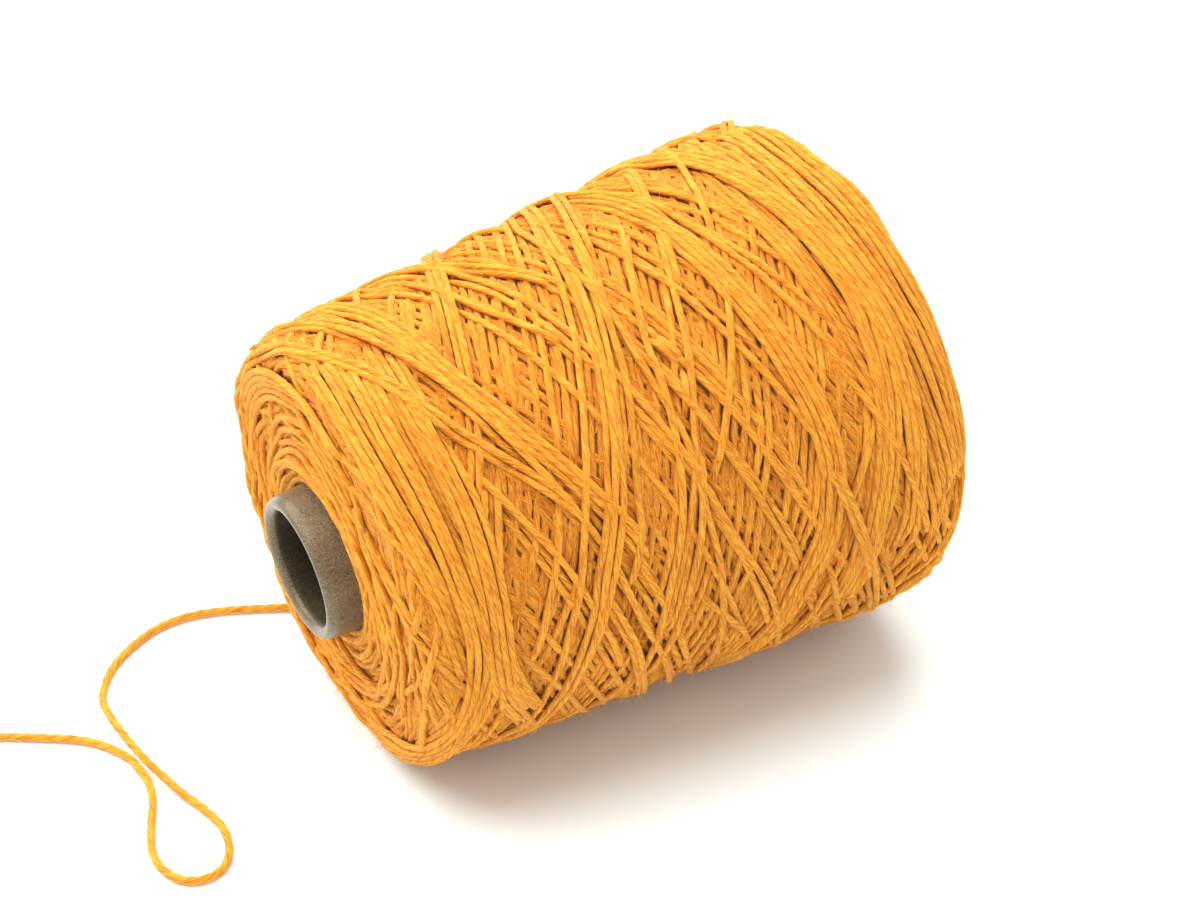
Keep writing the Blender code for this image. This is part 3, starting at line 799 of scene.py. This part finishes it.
class MeshPile:
    """Gathers small meshes into one, with what their material reads and a map for baking."""

    def __init__(self, wrapped=True):
        self.parts = []
        self.corners = 0
        self.faces = 0
        self.columns = 0
        self.wrapped = wrapped

    def add(self, points, triangles, straight, ply, tone_and_depth_shade, spots):
        """Adds a mesh. Its spots are its triangles' corners in the map: (triangle, corner, 2)."""
        tone_and_depth_shade = np.full(len(points), tone_and_depth_shade)
        spots = spots + (self.columns, 0.0)
        self.parts.append((points, triangles + self.corners, straight, ply, tone_and_depth_shade, spots))
        self.corners += len(points)
        self.faces += len(triangles)
        self.columns = math.ceil(spots[..., 0].max())

    def bake_map(self, spots):
        """The spots, folded into rows where they would make one long strip, from 0 to 1."""
        if self.wrapped:
            row_height = spots[..., 1].max() + BAKE_GAP
            per_row = math.ceil(math.sqrt(self.columns * row_height))
            row = np.floor(spots[..., 0].min(axis=1) / per_row)
            spots[..., 0] -= (row * per_row)[:, None]
            spots[..., 1] += (row * row_height)[:, None]
        return MAP_START + MAP_SIZE * spots / spots.max(axis=(0, 1))

    def make(self, name, material):
        """The gathered mesh as an object. What would go under the floor lies on it."""
        points, triangles, straight, ply, tone_and_depth_shade, spots = map(np.concatenate, zip(*self.parts))
        points[:, 2] = np.maximum(points[:, 2], 0.0)
        mesh = bpy.data.meshes.new(name)
        mesh.vertices.add(len(points))
        mesh.loops.add(3 * len(triangles))
        mesh.polygons.add(len(triangles))
        put(mesh.vertices, "co", points)
        put(mesh.loops, "vertex_index", triangles, np.int32)
        put(mesh.polygons, "loop_start", np.arange(0, 3 * len(triangles), 3), np.int32)
        put(mesh.uv_layers.new(name="OFBake").uv, "vector", self.bake_map(spots))
        put(mesh.attributes.new("straight", "FLOAT_VECTOR", "POINT").data, "vector", straight)
        put(mesh.attributes.new("ply", "FLOAT", "POINT").data, "value", ply)
        put(mesh.attributes.new("tone_and_depth_shade", "FLOAT", "POINT").data, "value", tone_and_depth_shade)
        mesh.update(calc_edges=True)
        mesh.validate()
        mesh.shade_smooth()
        mesh.materials.append(material)
        return add_object(name, mesh)


# ---- the winding's pieces ----

def shown_height(winding, strand, shift):
    """Height of a strand in the levelled winding: raised where it lies deep, held where it is proud."""
    height = strand["height"] + winding.between(shift, strand["path"])
    height = np.where(height > 0.0, TOP_CEILING * (1.0 - np.exp(-height / TOP_CEILING)), height)
    sunk = np.maximum(-SINK_FROM - height, 0.0)
    height = height + sunk - SINK_MOST * (1.0 - np.exp(-sunk / SINK_MOST))
    return height - winding.hole_sink(strand["path"][1])


def uneven_radius(rng, count):
    """Radius of a wound strand at each of its rings."""
    wobble = rng.uniform(0.0, TURN, 3)
    along = RING_STEP * np.arange(count)
    return WOUND_WIDE * (
        1.0
        + UNEVEN * np.sin(along / UNEVEN_LONG + wobble[0])
        + UNEVEN * np.sin(along / UNEVEN_SHORT + wobble[1])
    )


def runs_of(seen):
    """Start and end of each run of True that is long enough to build."""
    edges = np.diff(np.concatenate(((0,), seen.astype(int), (0,))))
    starts = np.nonzero(edges == 1)[0]
    ends = np.nonzero(edges == -1)[0]
    return [(start, end) for start, end in zip(starts, ends) if end - start >= RUN_RINGS]


def pile_for(piles, group, faces):
    """The first pile of a group with room for so many faces, or a new one."""
    for other, pile in piles:
        if other == group and pile.faces + faces < MOST_FACES:
            return pile
    piles.append((group, MeshPile()))
    return piles[-1][1]


def build_strands(winding, rng, material):
    """Every strand that can be seen, as twisted tubes joined into a few large meshes."""
    top = winding.smoothed(winding.height, LEVEL_RADIUS)
    shift = -LEVEL_SHARE * (top - TOP_MEAN)
    piles = []
    frames = []
    ring_number = 0
    for number, strand in enumerate(winding.strands):
        path, group = strand["path"], strand["group"]
        height = shown_height(winding, strand, shift)
        centres = winding.points(path, height)
        normals = winding.points(path, height + 1.0) - centres
        if "joins" in strand:
            share = np.clip(1.0 - np.arange(len(height))[::-1] / JOIN_RINGS, 0.0, 1.0)[:, None]
            centres += share ** 2 * (3.0 - 2.0 * share) * (strand["joins"] - centres[-1])
        # Tone value: random for each strand, lowered as painted shade, darker and redder, where it lies deep
        # under the winding's top.
        depth = winding.between(top, path) - strand["height"] - TOP_PRESS * PACKED_R
        tone_and_depth_shade = rng.uniform(-1.0, 1.0) - DEEP_SHADE_DROP * np.clip(depth / FULL_SHADE_DEPTH, 0.0, 1.0)
        radius = uneven_radius(rng, len(height))
        for start, end in runs_of(winding.shown(number)):
            run = slice(start, end)
            frames.append((centres[run], *axes_along(centres[run], normals[run]), radius[run].copy()))
            if "joins" not in strand:
                radius[run] *= np.minimum(END_SHARE + END_GROWS * rings_to_end(end - start), 1.0)
            picked = slice(start, end, 2 if group == "under" else 1)
            rings = len(centres[picked])
            if rings < 3:
                continue
            points, triangles, straight, spots = strand_mesh(
                centres[picked] * MM, normals[picked], ring_number + start, radius[picked] * MM,
                flattened=WOUND_HIGH / WOUND_WIDE
            )
            tone_and_shade_values = np.repeat(tone_and_depth_shade[picked], STRAND_SIDES)
            pile = pile_for(piles, group, len(triangles))
            pile.add(points, triangles, straight, ply_values(rings), tone_and_shade_values, spots)
        ring_number += len(height)
    pieces = []
    for group, pile in piles:
        number = 1 + sum(piece.name.startswith(f"yarn_{group}_") for piece in pieces)
        pieces.append(pile.make(f"yarn_{group}_{number}", material))
    pieces.append(build_fuzz(frames, rng, material))
    return pieces


def build_fuzz(frames, rng, material):
    """Fine stray fibres, each a thin curved strip that leaves a strand's surface."""
    count = FUZZ_COUNT
    centre, onward, outward, sideways, radius = map(np.concatenate, zip(*frames))
    picked = rng.integers(0, len(centre), count)
    lean = rng.normal(0.0, FUZZ_LEAN, count)[:, None]
    out = np.cos(lean) * outward[picked] + np.sin(lean) * sideways[picked]
    root = centre[picked] + out * (radius[picked][:, None] - FUZZ_ROOT)
    way = rng.choice((-1.0, 1.0), count)[:, None]
    start = way * onward[picked] + rng.uniform(*FUZZ_RISE, count)[:, None] * out
    start += rng.normal(0.0, FUZZ_SCATTER, (count, 3))
    start = unit(start)
    curl = rng.normal(0.0, FUZZ_CURL, (count, 3))
    length = np.clip(rng.exponential(FUZZ_MEAN, count) + FUZZ_SHORTEST, FUZZ_SHORTEST, FUZZ_LONGEST)[:, None]
    width = unit(np.cross(start, out))
    rows = []
    for share, thick in FUZZ_SECTIONS:
        middle = root + length * (share * start + share ** 2 * curl)
        rows.append(middle - 0.5 * FUZZ_WIDTH * thick * width)
        rows.append(middle + 0.5 * FUZZ_WIDTH * thick * width)
    points = np.stack(rows, axis=1) * MM
    first = (6 * np.arange(count))[:, None, None]
    strip = np.array(((0, 1, 3), (0, 3, 2), (2, 3, 5), (2, 5, 4)))
    triangles = (first + strip[None]).reshape(-1, 3)
    straight = np.repeat(points[:, :1], 6, axis=1).reshape(-1, 3)
    per_row = math.ceil(math.sqrt(count))
    cell = np.stack((np.arange(count) // per_row, np.arange(count) % per_row), -1)[:, None, None]
    shape = np.array([(0.1 + 0.4 * (corner // 2), 0.1 + 0.7 * (corner % 2)) for corner in range(6)])
    spots = (cell + shape[strip][None]).reshape(-1, 3, 2)
    pile = MeshPile(wrapped=False)
    pile.add(points.reshape(-1, 3), triangles, straight, np.ones(6 * count), 1.0, spots)
    return pile.make("yarn_fuzz", material)


def build_base(winding, material):
    """Plain closed surface under the strands, with the hole for the core, coloured with painted shade,
    darker and redder than the strands.
    """
    rows = np.arange(0, len(winding.place), BASE_EVERY)
    place = np.repeat(winding.place[rows], COLUMNS)
    height = np.maximum(-BASE_UNDER, -BASE_EDGE_UNDER - BASE_EDGE_SLOPE * winding.to_hole(place))
    path = np.tile(COLUMN_ANGLES, len(rows)), place
    outer = winding.points(path, height - winding.hole_sink(place))
    bore_along = np.linspace(winding.along[rows[-1]] - BASE_BORE_IN, BASE_BORE_IN, BASE_BORE_ROWS)
    inner = surface_rows(bore_along, [core_radius(along) + CLEARANCE for along in bore_along])
    points = np.concatenate((outer.reshape(len(rows), COLUMNS, 3), inner))
    triangles, spots = grid_mesh(len(points), COLUMNS)
    flat = points.reshape(-1, 3) * MM
    pile = MeshPile(wrapped=False)
    pile.add(flat, triangles, flat, np.ones(len(flat)), BASE_PAINTED_SHADE, spots)
    return pile.make("yarn_base", material)


def surface_rows(alongs, radii):
    """Rings of points around the axis, one for each distance along it."""
    rings = [on_cone(along, radius, COLUMN_ANGLES) for along, radius in zip(alongs, radii)]
    return np.stack(rings)


# ---- the loose end and the core ----

def spline_points(points, steps):
    """Smooth curve through the given points, with so many steps between two of them."""
    ends = np.concatenate(((2.0 * points[0] - points[1],), points, (2.0 * points[-1] - points[-2],)))
    t = (np.arange(steps) / steps)[:, None]
    pieces = []
    for before, start, end, after in zip(ends, ends[1:], ends[2:], ends[3:]):
        pieces.append(0.5 * (
            2.0 * start
            + (end - before) * t
            + (2.0 * before - 5.0 * start + 4.0 * end - after) * t ** 2
            + (3.0 * start - before - 3.0 * end + after) * t ** 3
        ))
    pieces.append(points[-1:])
    return np.concatenate(pieces)


def build_tail(material):
    """The loose end: the same yarn, twisted along its route. Gives its path and length too."""
    fine = spline_points(np.array(TAIL_ROUTE_MM), TAIL_FINE_STEPS)
    travelled = running_total(np.linalg.norm(np.diff(fine, axis=0), axis=1))
    rings = int(travelled[-1] / (PLY_TURN / TAIL_SIDES))
    wanted = np.linspace(0.0, travelled[-1], rings + 1)
    centres = np.stack([np.interp(wanted, travelled, fine[:, axis]) for axis in range(3)], axis=-1)
    normals = np.zeros_like(centres)
    normal = np.array((0.0, 0.0, 1.0))
    for index, tangent in enumerate(np.gradient(centres, axis=0)):
        tangent = tangent / np.linalg.norm(tangent)
        normal = normal - tangent * np.dot(normal, tangent)
        normal /= np.linalg.norm(normal)
        normals[index] = normal
    radius = np.full(len(centres), YARN_R * MM)
    points, triangles, straight, spots = strand_mesh(
        centres * MM, normals, 0, radius, sides=TAIL_SIDES, groove=TAIL_GROOVE
    )
    pile = MeshPile()
    pile.add(points, triangles, straight, ply_values(len(centres), TAIL_SIDES), TAIL_TINT, spots)
    return pile.make("loose_end", material), centres * MM, travelled[-1] * MM


def core_profile():
    """Closed outline (along, radius) of the paper core: outside, base, bore and rolled lip."""
    base = CORE_LENGTH - NOSE_OUT
    crest_r = core_radius(-NOSE_OUT) - LIP_CREST_IN
    outer_start = -NOSE_OUT + LIP_OUTER_DEPTH
    inner_start = -NOSE_OUT + LIP_INNER_DEPTH
    lip_out = core_radius(outer_start) - crest_r
    lip_in = crest_r - bore_radius(inner_start)
    points = []
    for angle in np.linspace(0.0, 0.5 * math.pi, 10):
        points.append((outer_start - LIP_OUTER_DEPTH * math.sin(angle), crest_r + lip_out * math.cos(angle)))
    for angle in np.linspace(0.0, 0.5 * math.pi, 8)[1:]:
        points.append((inner_start - LIP_INNER_DEPTH * math.cos(angle), crest_r - lip_in * math.sin(angle)))
    lip_end = inner_start + 2.5 * LIP_FADE
    bore = (*np.linspace(inner_start, lip_end, 10)[1:], *np.linspace(lip_end, base, 18)[1:])
    points += [(along, bore_radius(along)) for along in bore]
    points += [(along, core_radius(along)) for along in np.linspace(base, outer_start, 30)[:-1]]
    return np.array(points)


def build_core(material):
    """The paper core, finer than the part's, with how deep each point lies in its bore, for the paper's
    painted shade.
    """
    profile = core_profile()
    alongs, radii = profile.T
    triangles, spots = grid_mesh(len(profile), COLUMNS)
    wall_middle = core_radius(alongs) - 0.5 * CORE_WALL
    to_opening = np.minimum(alongs + NOSE_OUT, CORE_LENGTH - NOSE_OUT - alongs)
    # how far into the bore each point lies, which the paper's painted shade darkens by
    inside = np.where(radii < wall_middle, to_opening, 0.0)
    flat = surface_rows(alongs, radii).reshape(-1, 3) * MM
    pile = MeshPile(wrapped=False)
    pile.add(flat, triangles[:, ::-1], flat, np.repeat(inside, COLUMNS), 0.0, spots[:, ::-1])
    return pile.make("paper_core", material)


# ---- materials ----

def new_material(name):
    """A new material, its node tree and its shader."""
    material = bpy.data.materials.new(name)
    material.use_nodes = True
    return material, material.node_tree, material.node_tree.nodes["Principled BSDF"]


def feed(tree, node, inputs):
    """Gives a node's inputs, by their names or numbers, a value or another node's output."""
    for name, value in inputs.items():
        if isinstance(value, bpy.types.NodeSocket):
            tree.links.new(value, node.inputs[name])
        else:
            node.inputs[name].default_value = value


def add_node(tree, kind, output, inputs=(), **settings):
    """Adds a node and returns one of its outputs."""
    node = tree.nodes.new("ShaderNode" + kind)
    for name, value in settings.items():
        setattr(node, name, value)
    feed(tree, node, dict(inputs))
    return node.outputs[output]


def add_ramp(tree, value, *stops):
    """Adds a ramp through colours, each with its position, and returns the colour."""
    node = tree.nodes.new("ShaderNodeValToRGB")
    elements = node.color_ramp.elements
    for element, (position, color) in zip(elements, (stops[0], stops[-1])):
        element.position = position
        element.color = (*color, 1.0)
    for position, color in stops[1:-1]:
        elements.new(position).color = (*color, 1.0)
    tree.links.new(value, node.inputs["Fac"])
    return node.outputs["Color"]


def yarn_material():
    """Fibres that follow the plies, with painted shade that darkens the grooves between them and makes a
    strand darker and redder where it lies deep.
    """
    material, tree, shader = new_material("yarn")
    straight = add_node(tree, "Attribute", "Vector", attribute_name="straight")
    ply = add_node(tree, "Attribute", "Fac", attribute_name="ply")
    tone_and_depth_shade = add_node(tree, "Attribute", "Fac", attribute_name="tone_and_depth_shade")
    along = add_node(tree, "SeparateXYZ", "Z", {"Vector": straight})
    turn_rate = FIBRE_TURN_SHARE * TURN / (PLY_TURN * MM)
    turned = add_node(tree, "Math", "Value", {0: along, 1: turn_rate}, operation="MULTIPLY")
    turning = {"Vector": straight, "Angle": turned}
    untwisted = add_node(tree, "VectorRotate", "Vector", turning, rotation_type="Z_AXIS")
    stretching = {0: untwisted, 1: (2900.0, 2900.0, 230.0)}
    stretched = add_node(tree, "VectorMath", "Vector", stretching, operation="MULTIPLY")
    grain = {"Vector": stretched, "Scale": 1.0, "Detail": 4.0, "Roughness": 0.65}
    fibres = add_node(tree, "TexNoise", "Fac", grain)
    color = add_ramp(tree, fibres, (0.37, (0.66, 0.157, 0.0069)), (0.59, (1.0, 0.455, 0.044)))
    # painted shade: the colour is darkened to 92% in the grooves between the plies
    groove = add_node(tree, "MapRange", "Result", {"Value": ply, "To Min": 0.92, "To Max": 1.0})
    strand = add_node(tree, "MapRange", "Result", {"Value": tone_and_depth_shade, "From Min": -1.0 - DEEP_SHADE_DROP})
    # painted shade: low tone values, from deep strands and the base, are darkened and reddened; the random
    # tone of each strand spans the upper half
    tone_and_shade_factor = add_ramp(
        tree, strand, (0.0, (0.77, 0.64, 0.57)), (0.5, (0.92, 0.905, 0.90)), (1.0, (1.0, 1.0, 1.0))
    )
    shaded = add_node(tree, "VectorMath", "Vector", {0: color, "Scale": groove}, operation="SCALE")
    toned_and_shaded = add_node(tree, "VectorMath", "Vector", {0: shaded, 1: tone_and_shade_factor}, operation="MULTIPLY")
    feed(tree, shader, {
        "Base Color": toned_and_shaded,
        "Normal": add_node(tree, "Bump", "Normal", {"Strength": 1.0, "Distance": 0.0004, "Height": fibres}),
        "Roughness": 0.85,
        "Specular IOR Level": 0.15,
        "Sheen Weight": 0.40,
        "Sheen Roughness": 0.40,
        "Sheen Tint": (1.0, 0.78, 0.36, 1.0),
    })
    return material


def paper_material():
    """Grey-brown pressed paper with fine speckles and a waxy coat, and painted shade that darkens the bore
    inwards.
    """
    material, tree, shader = new_material("paper")
    place = add_node(tree, "Attribute", "Vector", attribute_name="straight")
    depth = add_node(tree, "Attribute", "Fac", attribute_name="ply")
    grain = {"Vector": place, "Scale": 2400.0, "Detail": 5.0, "Roughness": 0.75}
    speckle = add_node(tree, "TexNoise", "Fac", grain)
    color = add_ramp(tree, speckle, (0.37, (0.055, 0.041, 0.024)), (0.62, (0.240, 0.180, 0.110)))
    worn = add_node(tree, "TexNoise", "Fac", {"Vector": place, "Scale": 160.0, "Detail": 3.0})
    wear = {"Value": worn, "From Min": 0.3, "From Max": 0.7, "To Min": 0.88, "To Max": 1.10}
    patches = add_node(tree, "MapRange", "Result", wear)
    # painted shade: the bore's wall darkens to 2% between 1 and 14 mm in from its openings
    painted_bore_shade = {"Value": depth, "From Min": 1.0, "From Max": 14.0, "To Min": 1.0, "To Max": 0.02}
    bore_shade_factor = add_node(tree, "MapRange", "Result", painted_bore_shade)
    both = add_node(tree, "Math", "Value", {0: patches, 1: bore_shade_factor}, operation="MULTIPLY")
    shaded = add_node(tree, "VectorMath", "Vector", {0: color, "Scale": both}, operation="SCALE")
    rough = {"Strength": 0.3, "Distance": 0.00012, "Height": speckle}
    feed(tree, shader, {
        "Base Color": shaded,
        "Normal": add_node(tree, "Bump", "Normal", rough),
        "Roughness": 0.30,
        "Specular IOR Level": 0.42,
        "Specular Tint": (1.0, 0.84, 0.66, 1.0),
    })
    return material


# ---- stage ----

CAMERA_AT = (-0.2800, -0.4733, 0.4613)
CAMERA_AZIMUTH = math.radians(-30.85)
CAMERA_ELEVATION = math.radians(36.03)
CAMERA_ROLL = math.radians(0.69)
CAMERA_LENS = 78.0
FLOOR_HALF = 12.0
FLOOR_TOP = -0.0002
KEY_AT = (-0.20, 0.60, 1.36)
KEY_TOWARDS = (0.0, 0.0, 0.05)


def make_camera():
    """Camera at the photograph's angle, with its slight roll."""
    az, el, roll = CAMERA_AZIMUTH, CAMERA_ELEVATION, CAMERA_ROLL
    back = Vector((math.sin(az) * math.cos(el), -math.cos(az) * math.cos(el), math.sin(el)))
    right = (-back).cross(Vector((0.0, 0.0, 1.0))).normalized()
    up = right.cross(-back)
    turned_right = math.cos(roll) * right + math.sin(roll) * up
    turned_up = -math.sin(roll) * right + math.cos(roll) * up
    data = bpy.data.cameras.new("camera")
    data.lens = CAMERA_LENS
    data.sensor_width = 36.0
    data.sensor_fit = 'HORIZONTAL'
    camera = add_object("camera", data)
    turn = Matrix((turned_right, turned_up, back)).transposed()
    camera.matrix_world = Matrix.Translation(CAMERA_AT) @ turn.to_4x4()
    bpy.context.scene.camera = camera


def make_floor():
    """The pale table top."""
    sides = ((-1, -1), (1, -1), (1, 1), (-1, 1))
    corners = [(FLOOR_HALF * x, FLOOR_HALF * y, FLOOR_TOP) for x, y in sides]
    mesh = bpy.data.meshes.new("floor")
    mesh.from_pydata(corners, [], [(0, 1, 2, 3)])
    material, tree, shader = new_material("floor")
    feed(tree, shader, {"Base Color": (0.87, 0.95, 0.975, 1.0), "Roughness": 0.9})
    mesh.materials.append(material)
    add_object("floor", mesh)


def make_light():
    """Soft light from all round, and a large lamp over and behind the cone."""
    world = bpy.data.worlds.new("world")
    bpy.context.scene.world = world
    world.use_nodes = True
    background = world.node_tree.nodes["Background"]
    feed(world.node_tree, background, {"Color": (1.0, 0.96, 0.925, 1.0), "Strength": 0.89})
    data = bpy.data.lights.new("key", 'AREA')
    data.shape = 'DISK'
    data.size = 2.6
    data.energy = 65.0
    data.color = (0.95, 1.0, 0.94)
    key = add_object("key", data)
    key.location = KEY_AT
    key.rotation_euler = (Vector(KEY_TOWARDS) - key.location).to_track_quat('-Z', 'Y').to_euler()
    bpy.context.scene.view_settings.view_transform = 'Standard'


# ---- the scene ----

def wind_yarn():
    """The whole winding, and the random numbers that its looks go on with."""
    rng = np.random.default_rng(SEED)
    winding = Winding()
    small_high = winding.side_start + ARC_ONTO_SIDE
    big_low = winding.side_end - ARC_ONTO_SIDE
    last = winding.length - 1.0
    wind_end_arcs(winding, rng, 1.0, small_high, 1.0, SMALL_ARCS, "small_end")
    wind_end_arcs(winding, rng, big_low, last, -1.0, BIG_ARCS, "big_end")
    wind_strokes(winding, rng)
    wind_end_arcs(winding, rng, 1.0, small_high - LATE_ARC_BACK, 1.0, LATE_SMALL_ARCS, "small_end")
    wind_end_arcs(winding, rng, big_low + LATE_ARC_BACK, last, -1.0, LATE_BIG_ARCS, "big_end")
    wind_hand_laid(winding, rng)
    return winding, rng


def main():
    """The stage, and the yarn and core in place of the part's solids."""
    make_camera()
    make_floor()
    make_light()
    yarn = yarn_material()
    paper = paper_material()

    tail, path, length = build_tail(yarn)
    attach(tail, "root")
    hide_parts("tail")

    winding, rng = wind_yarn()
    pieces = build_strands(winding, rng, yarn)
    pieces.append(build_base(winding, yarn))
    for piece in pieces:
        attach(piece, "root")
        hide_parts("yarn_package")

    core = build_core(paper)
    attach(core, "root")
    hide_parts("core")


main()
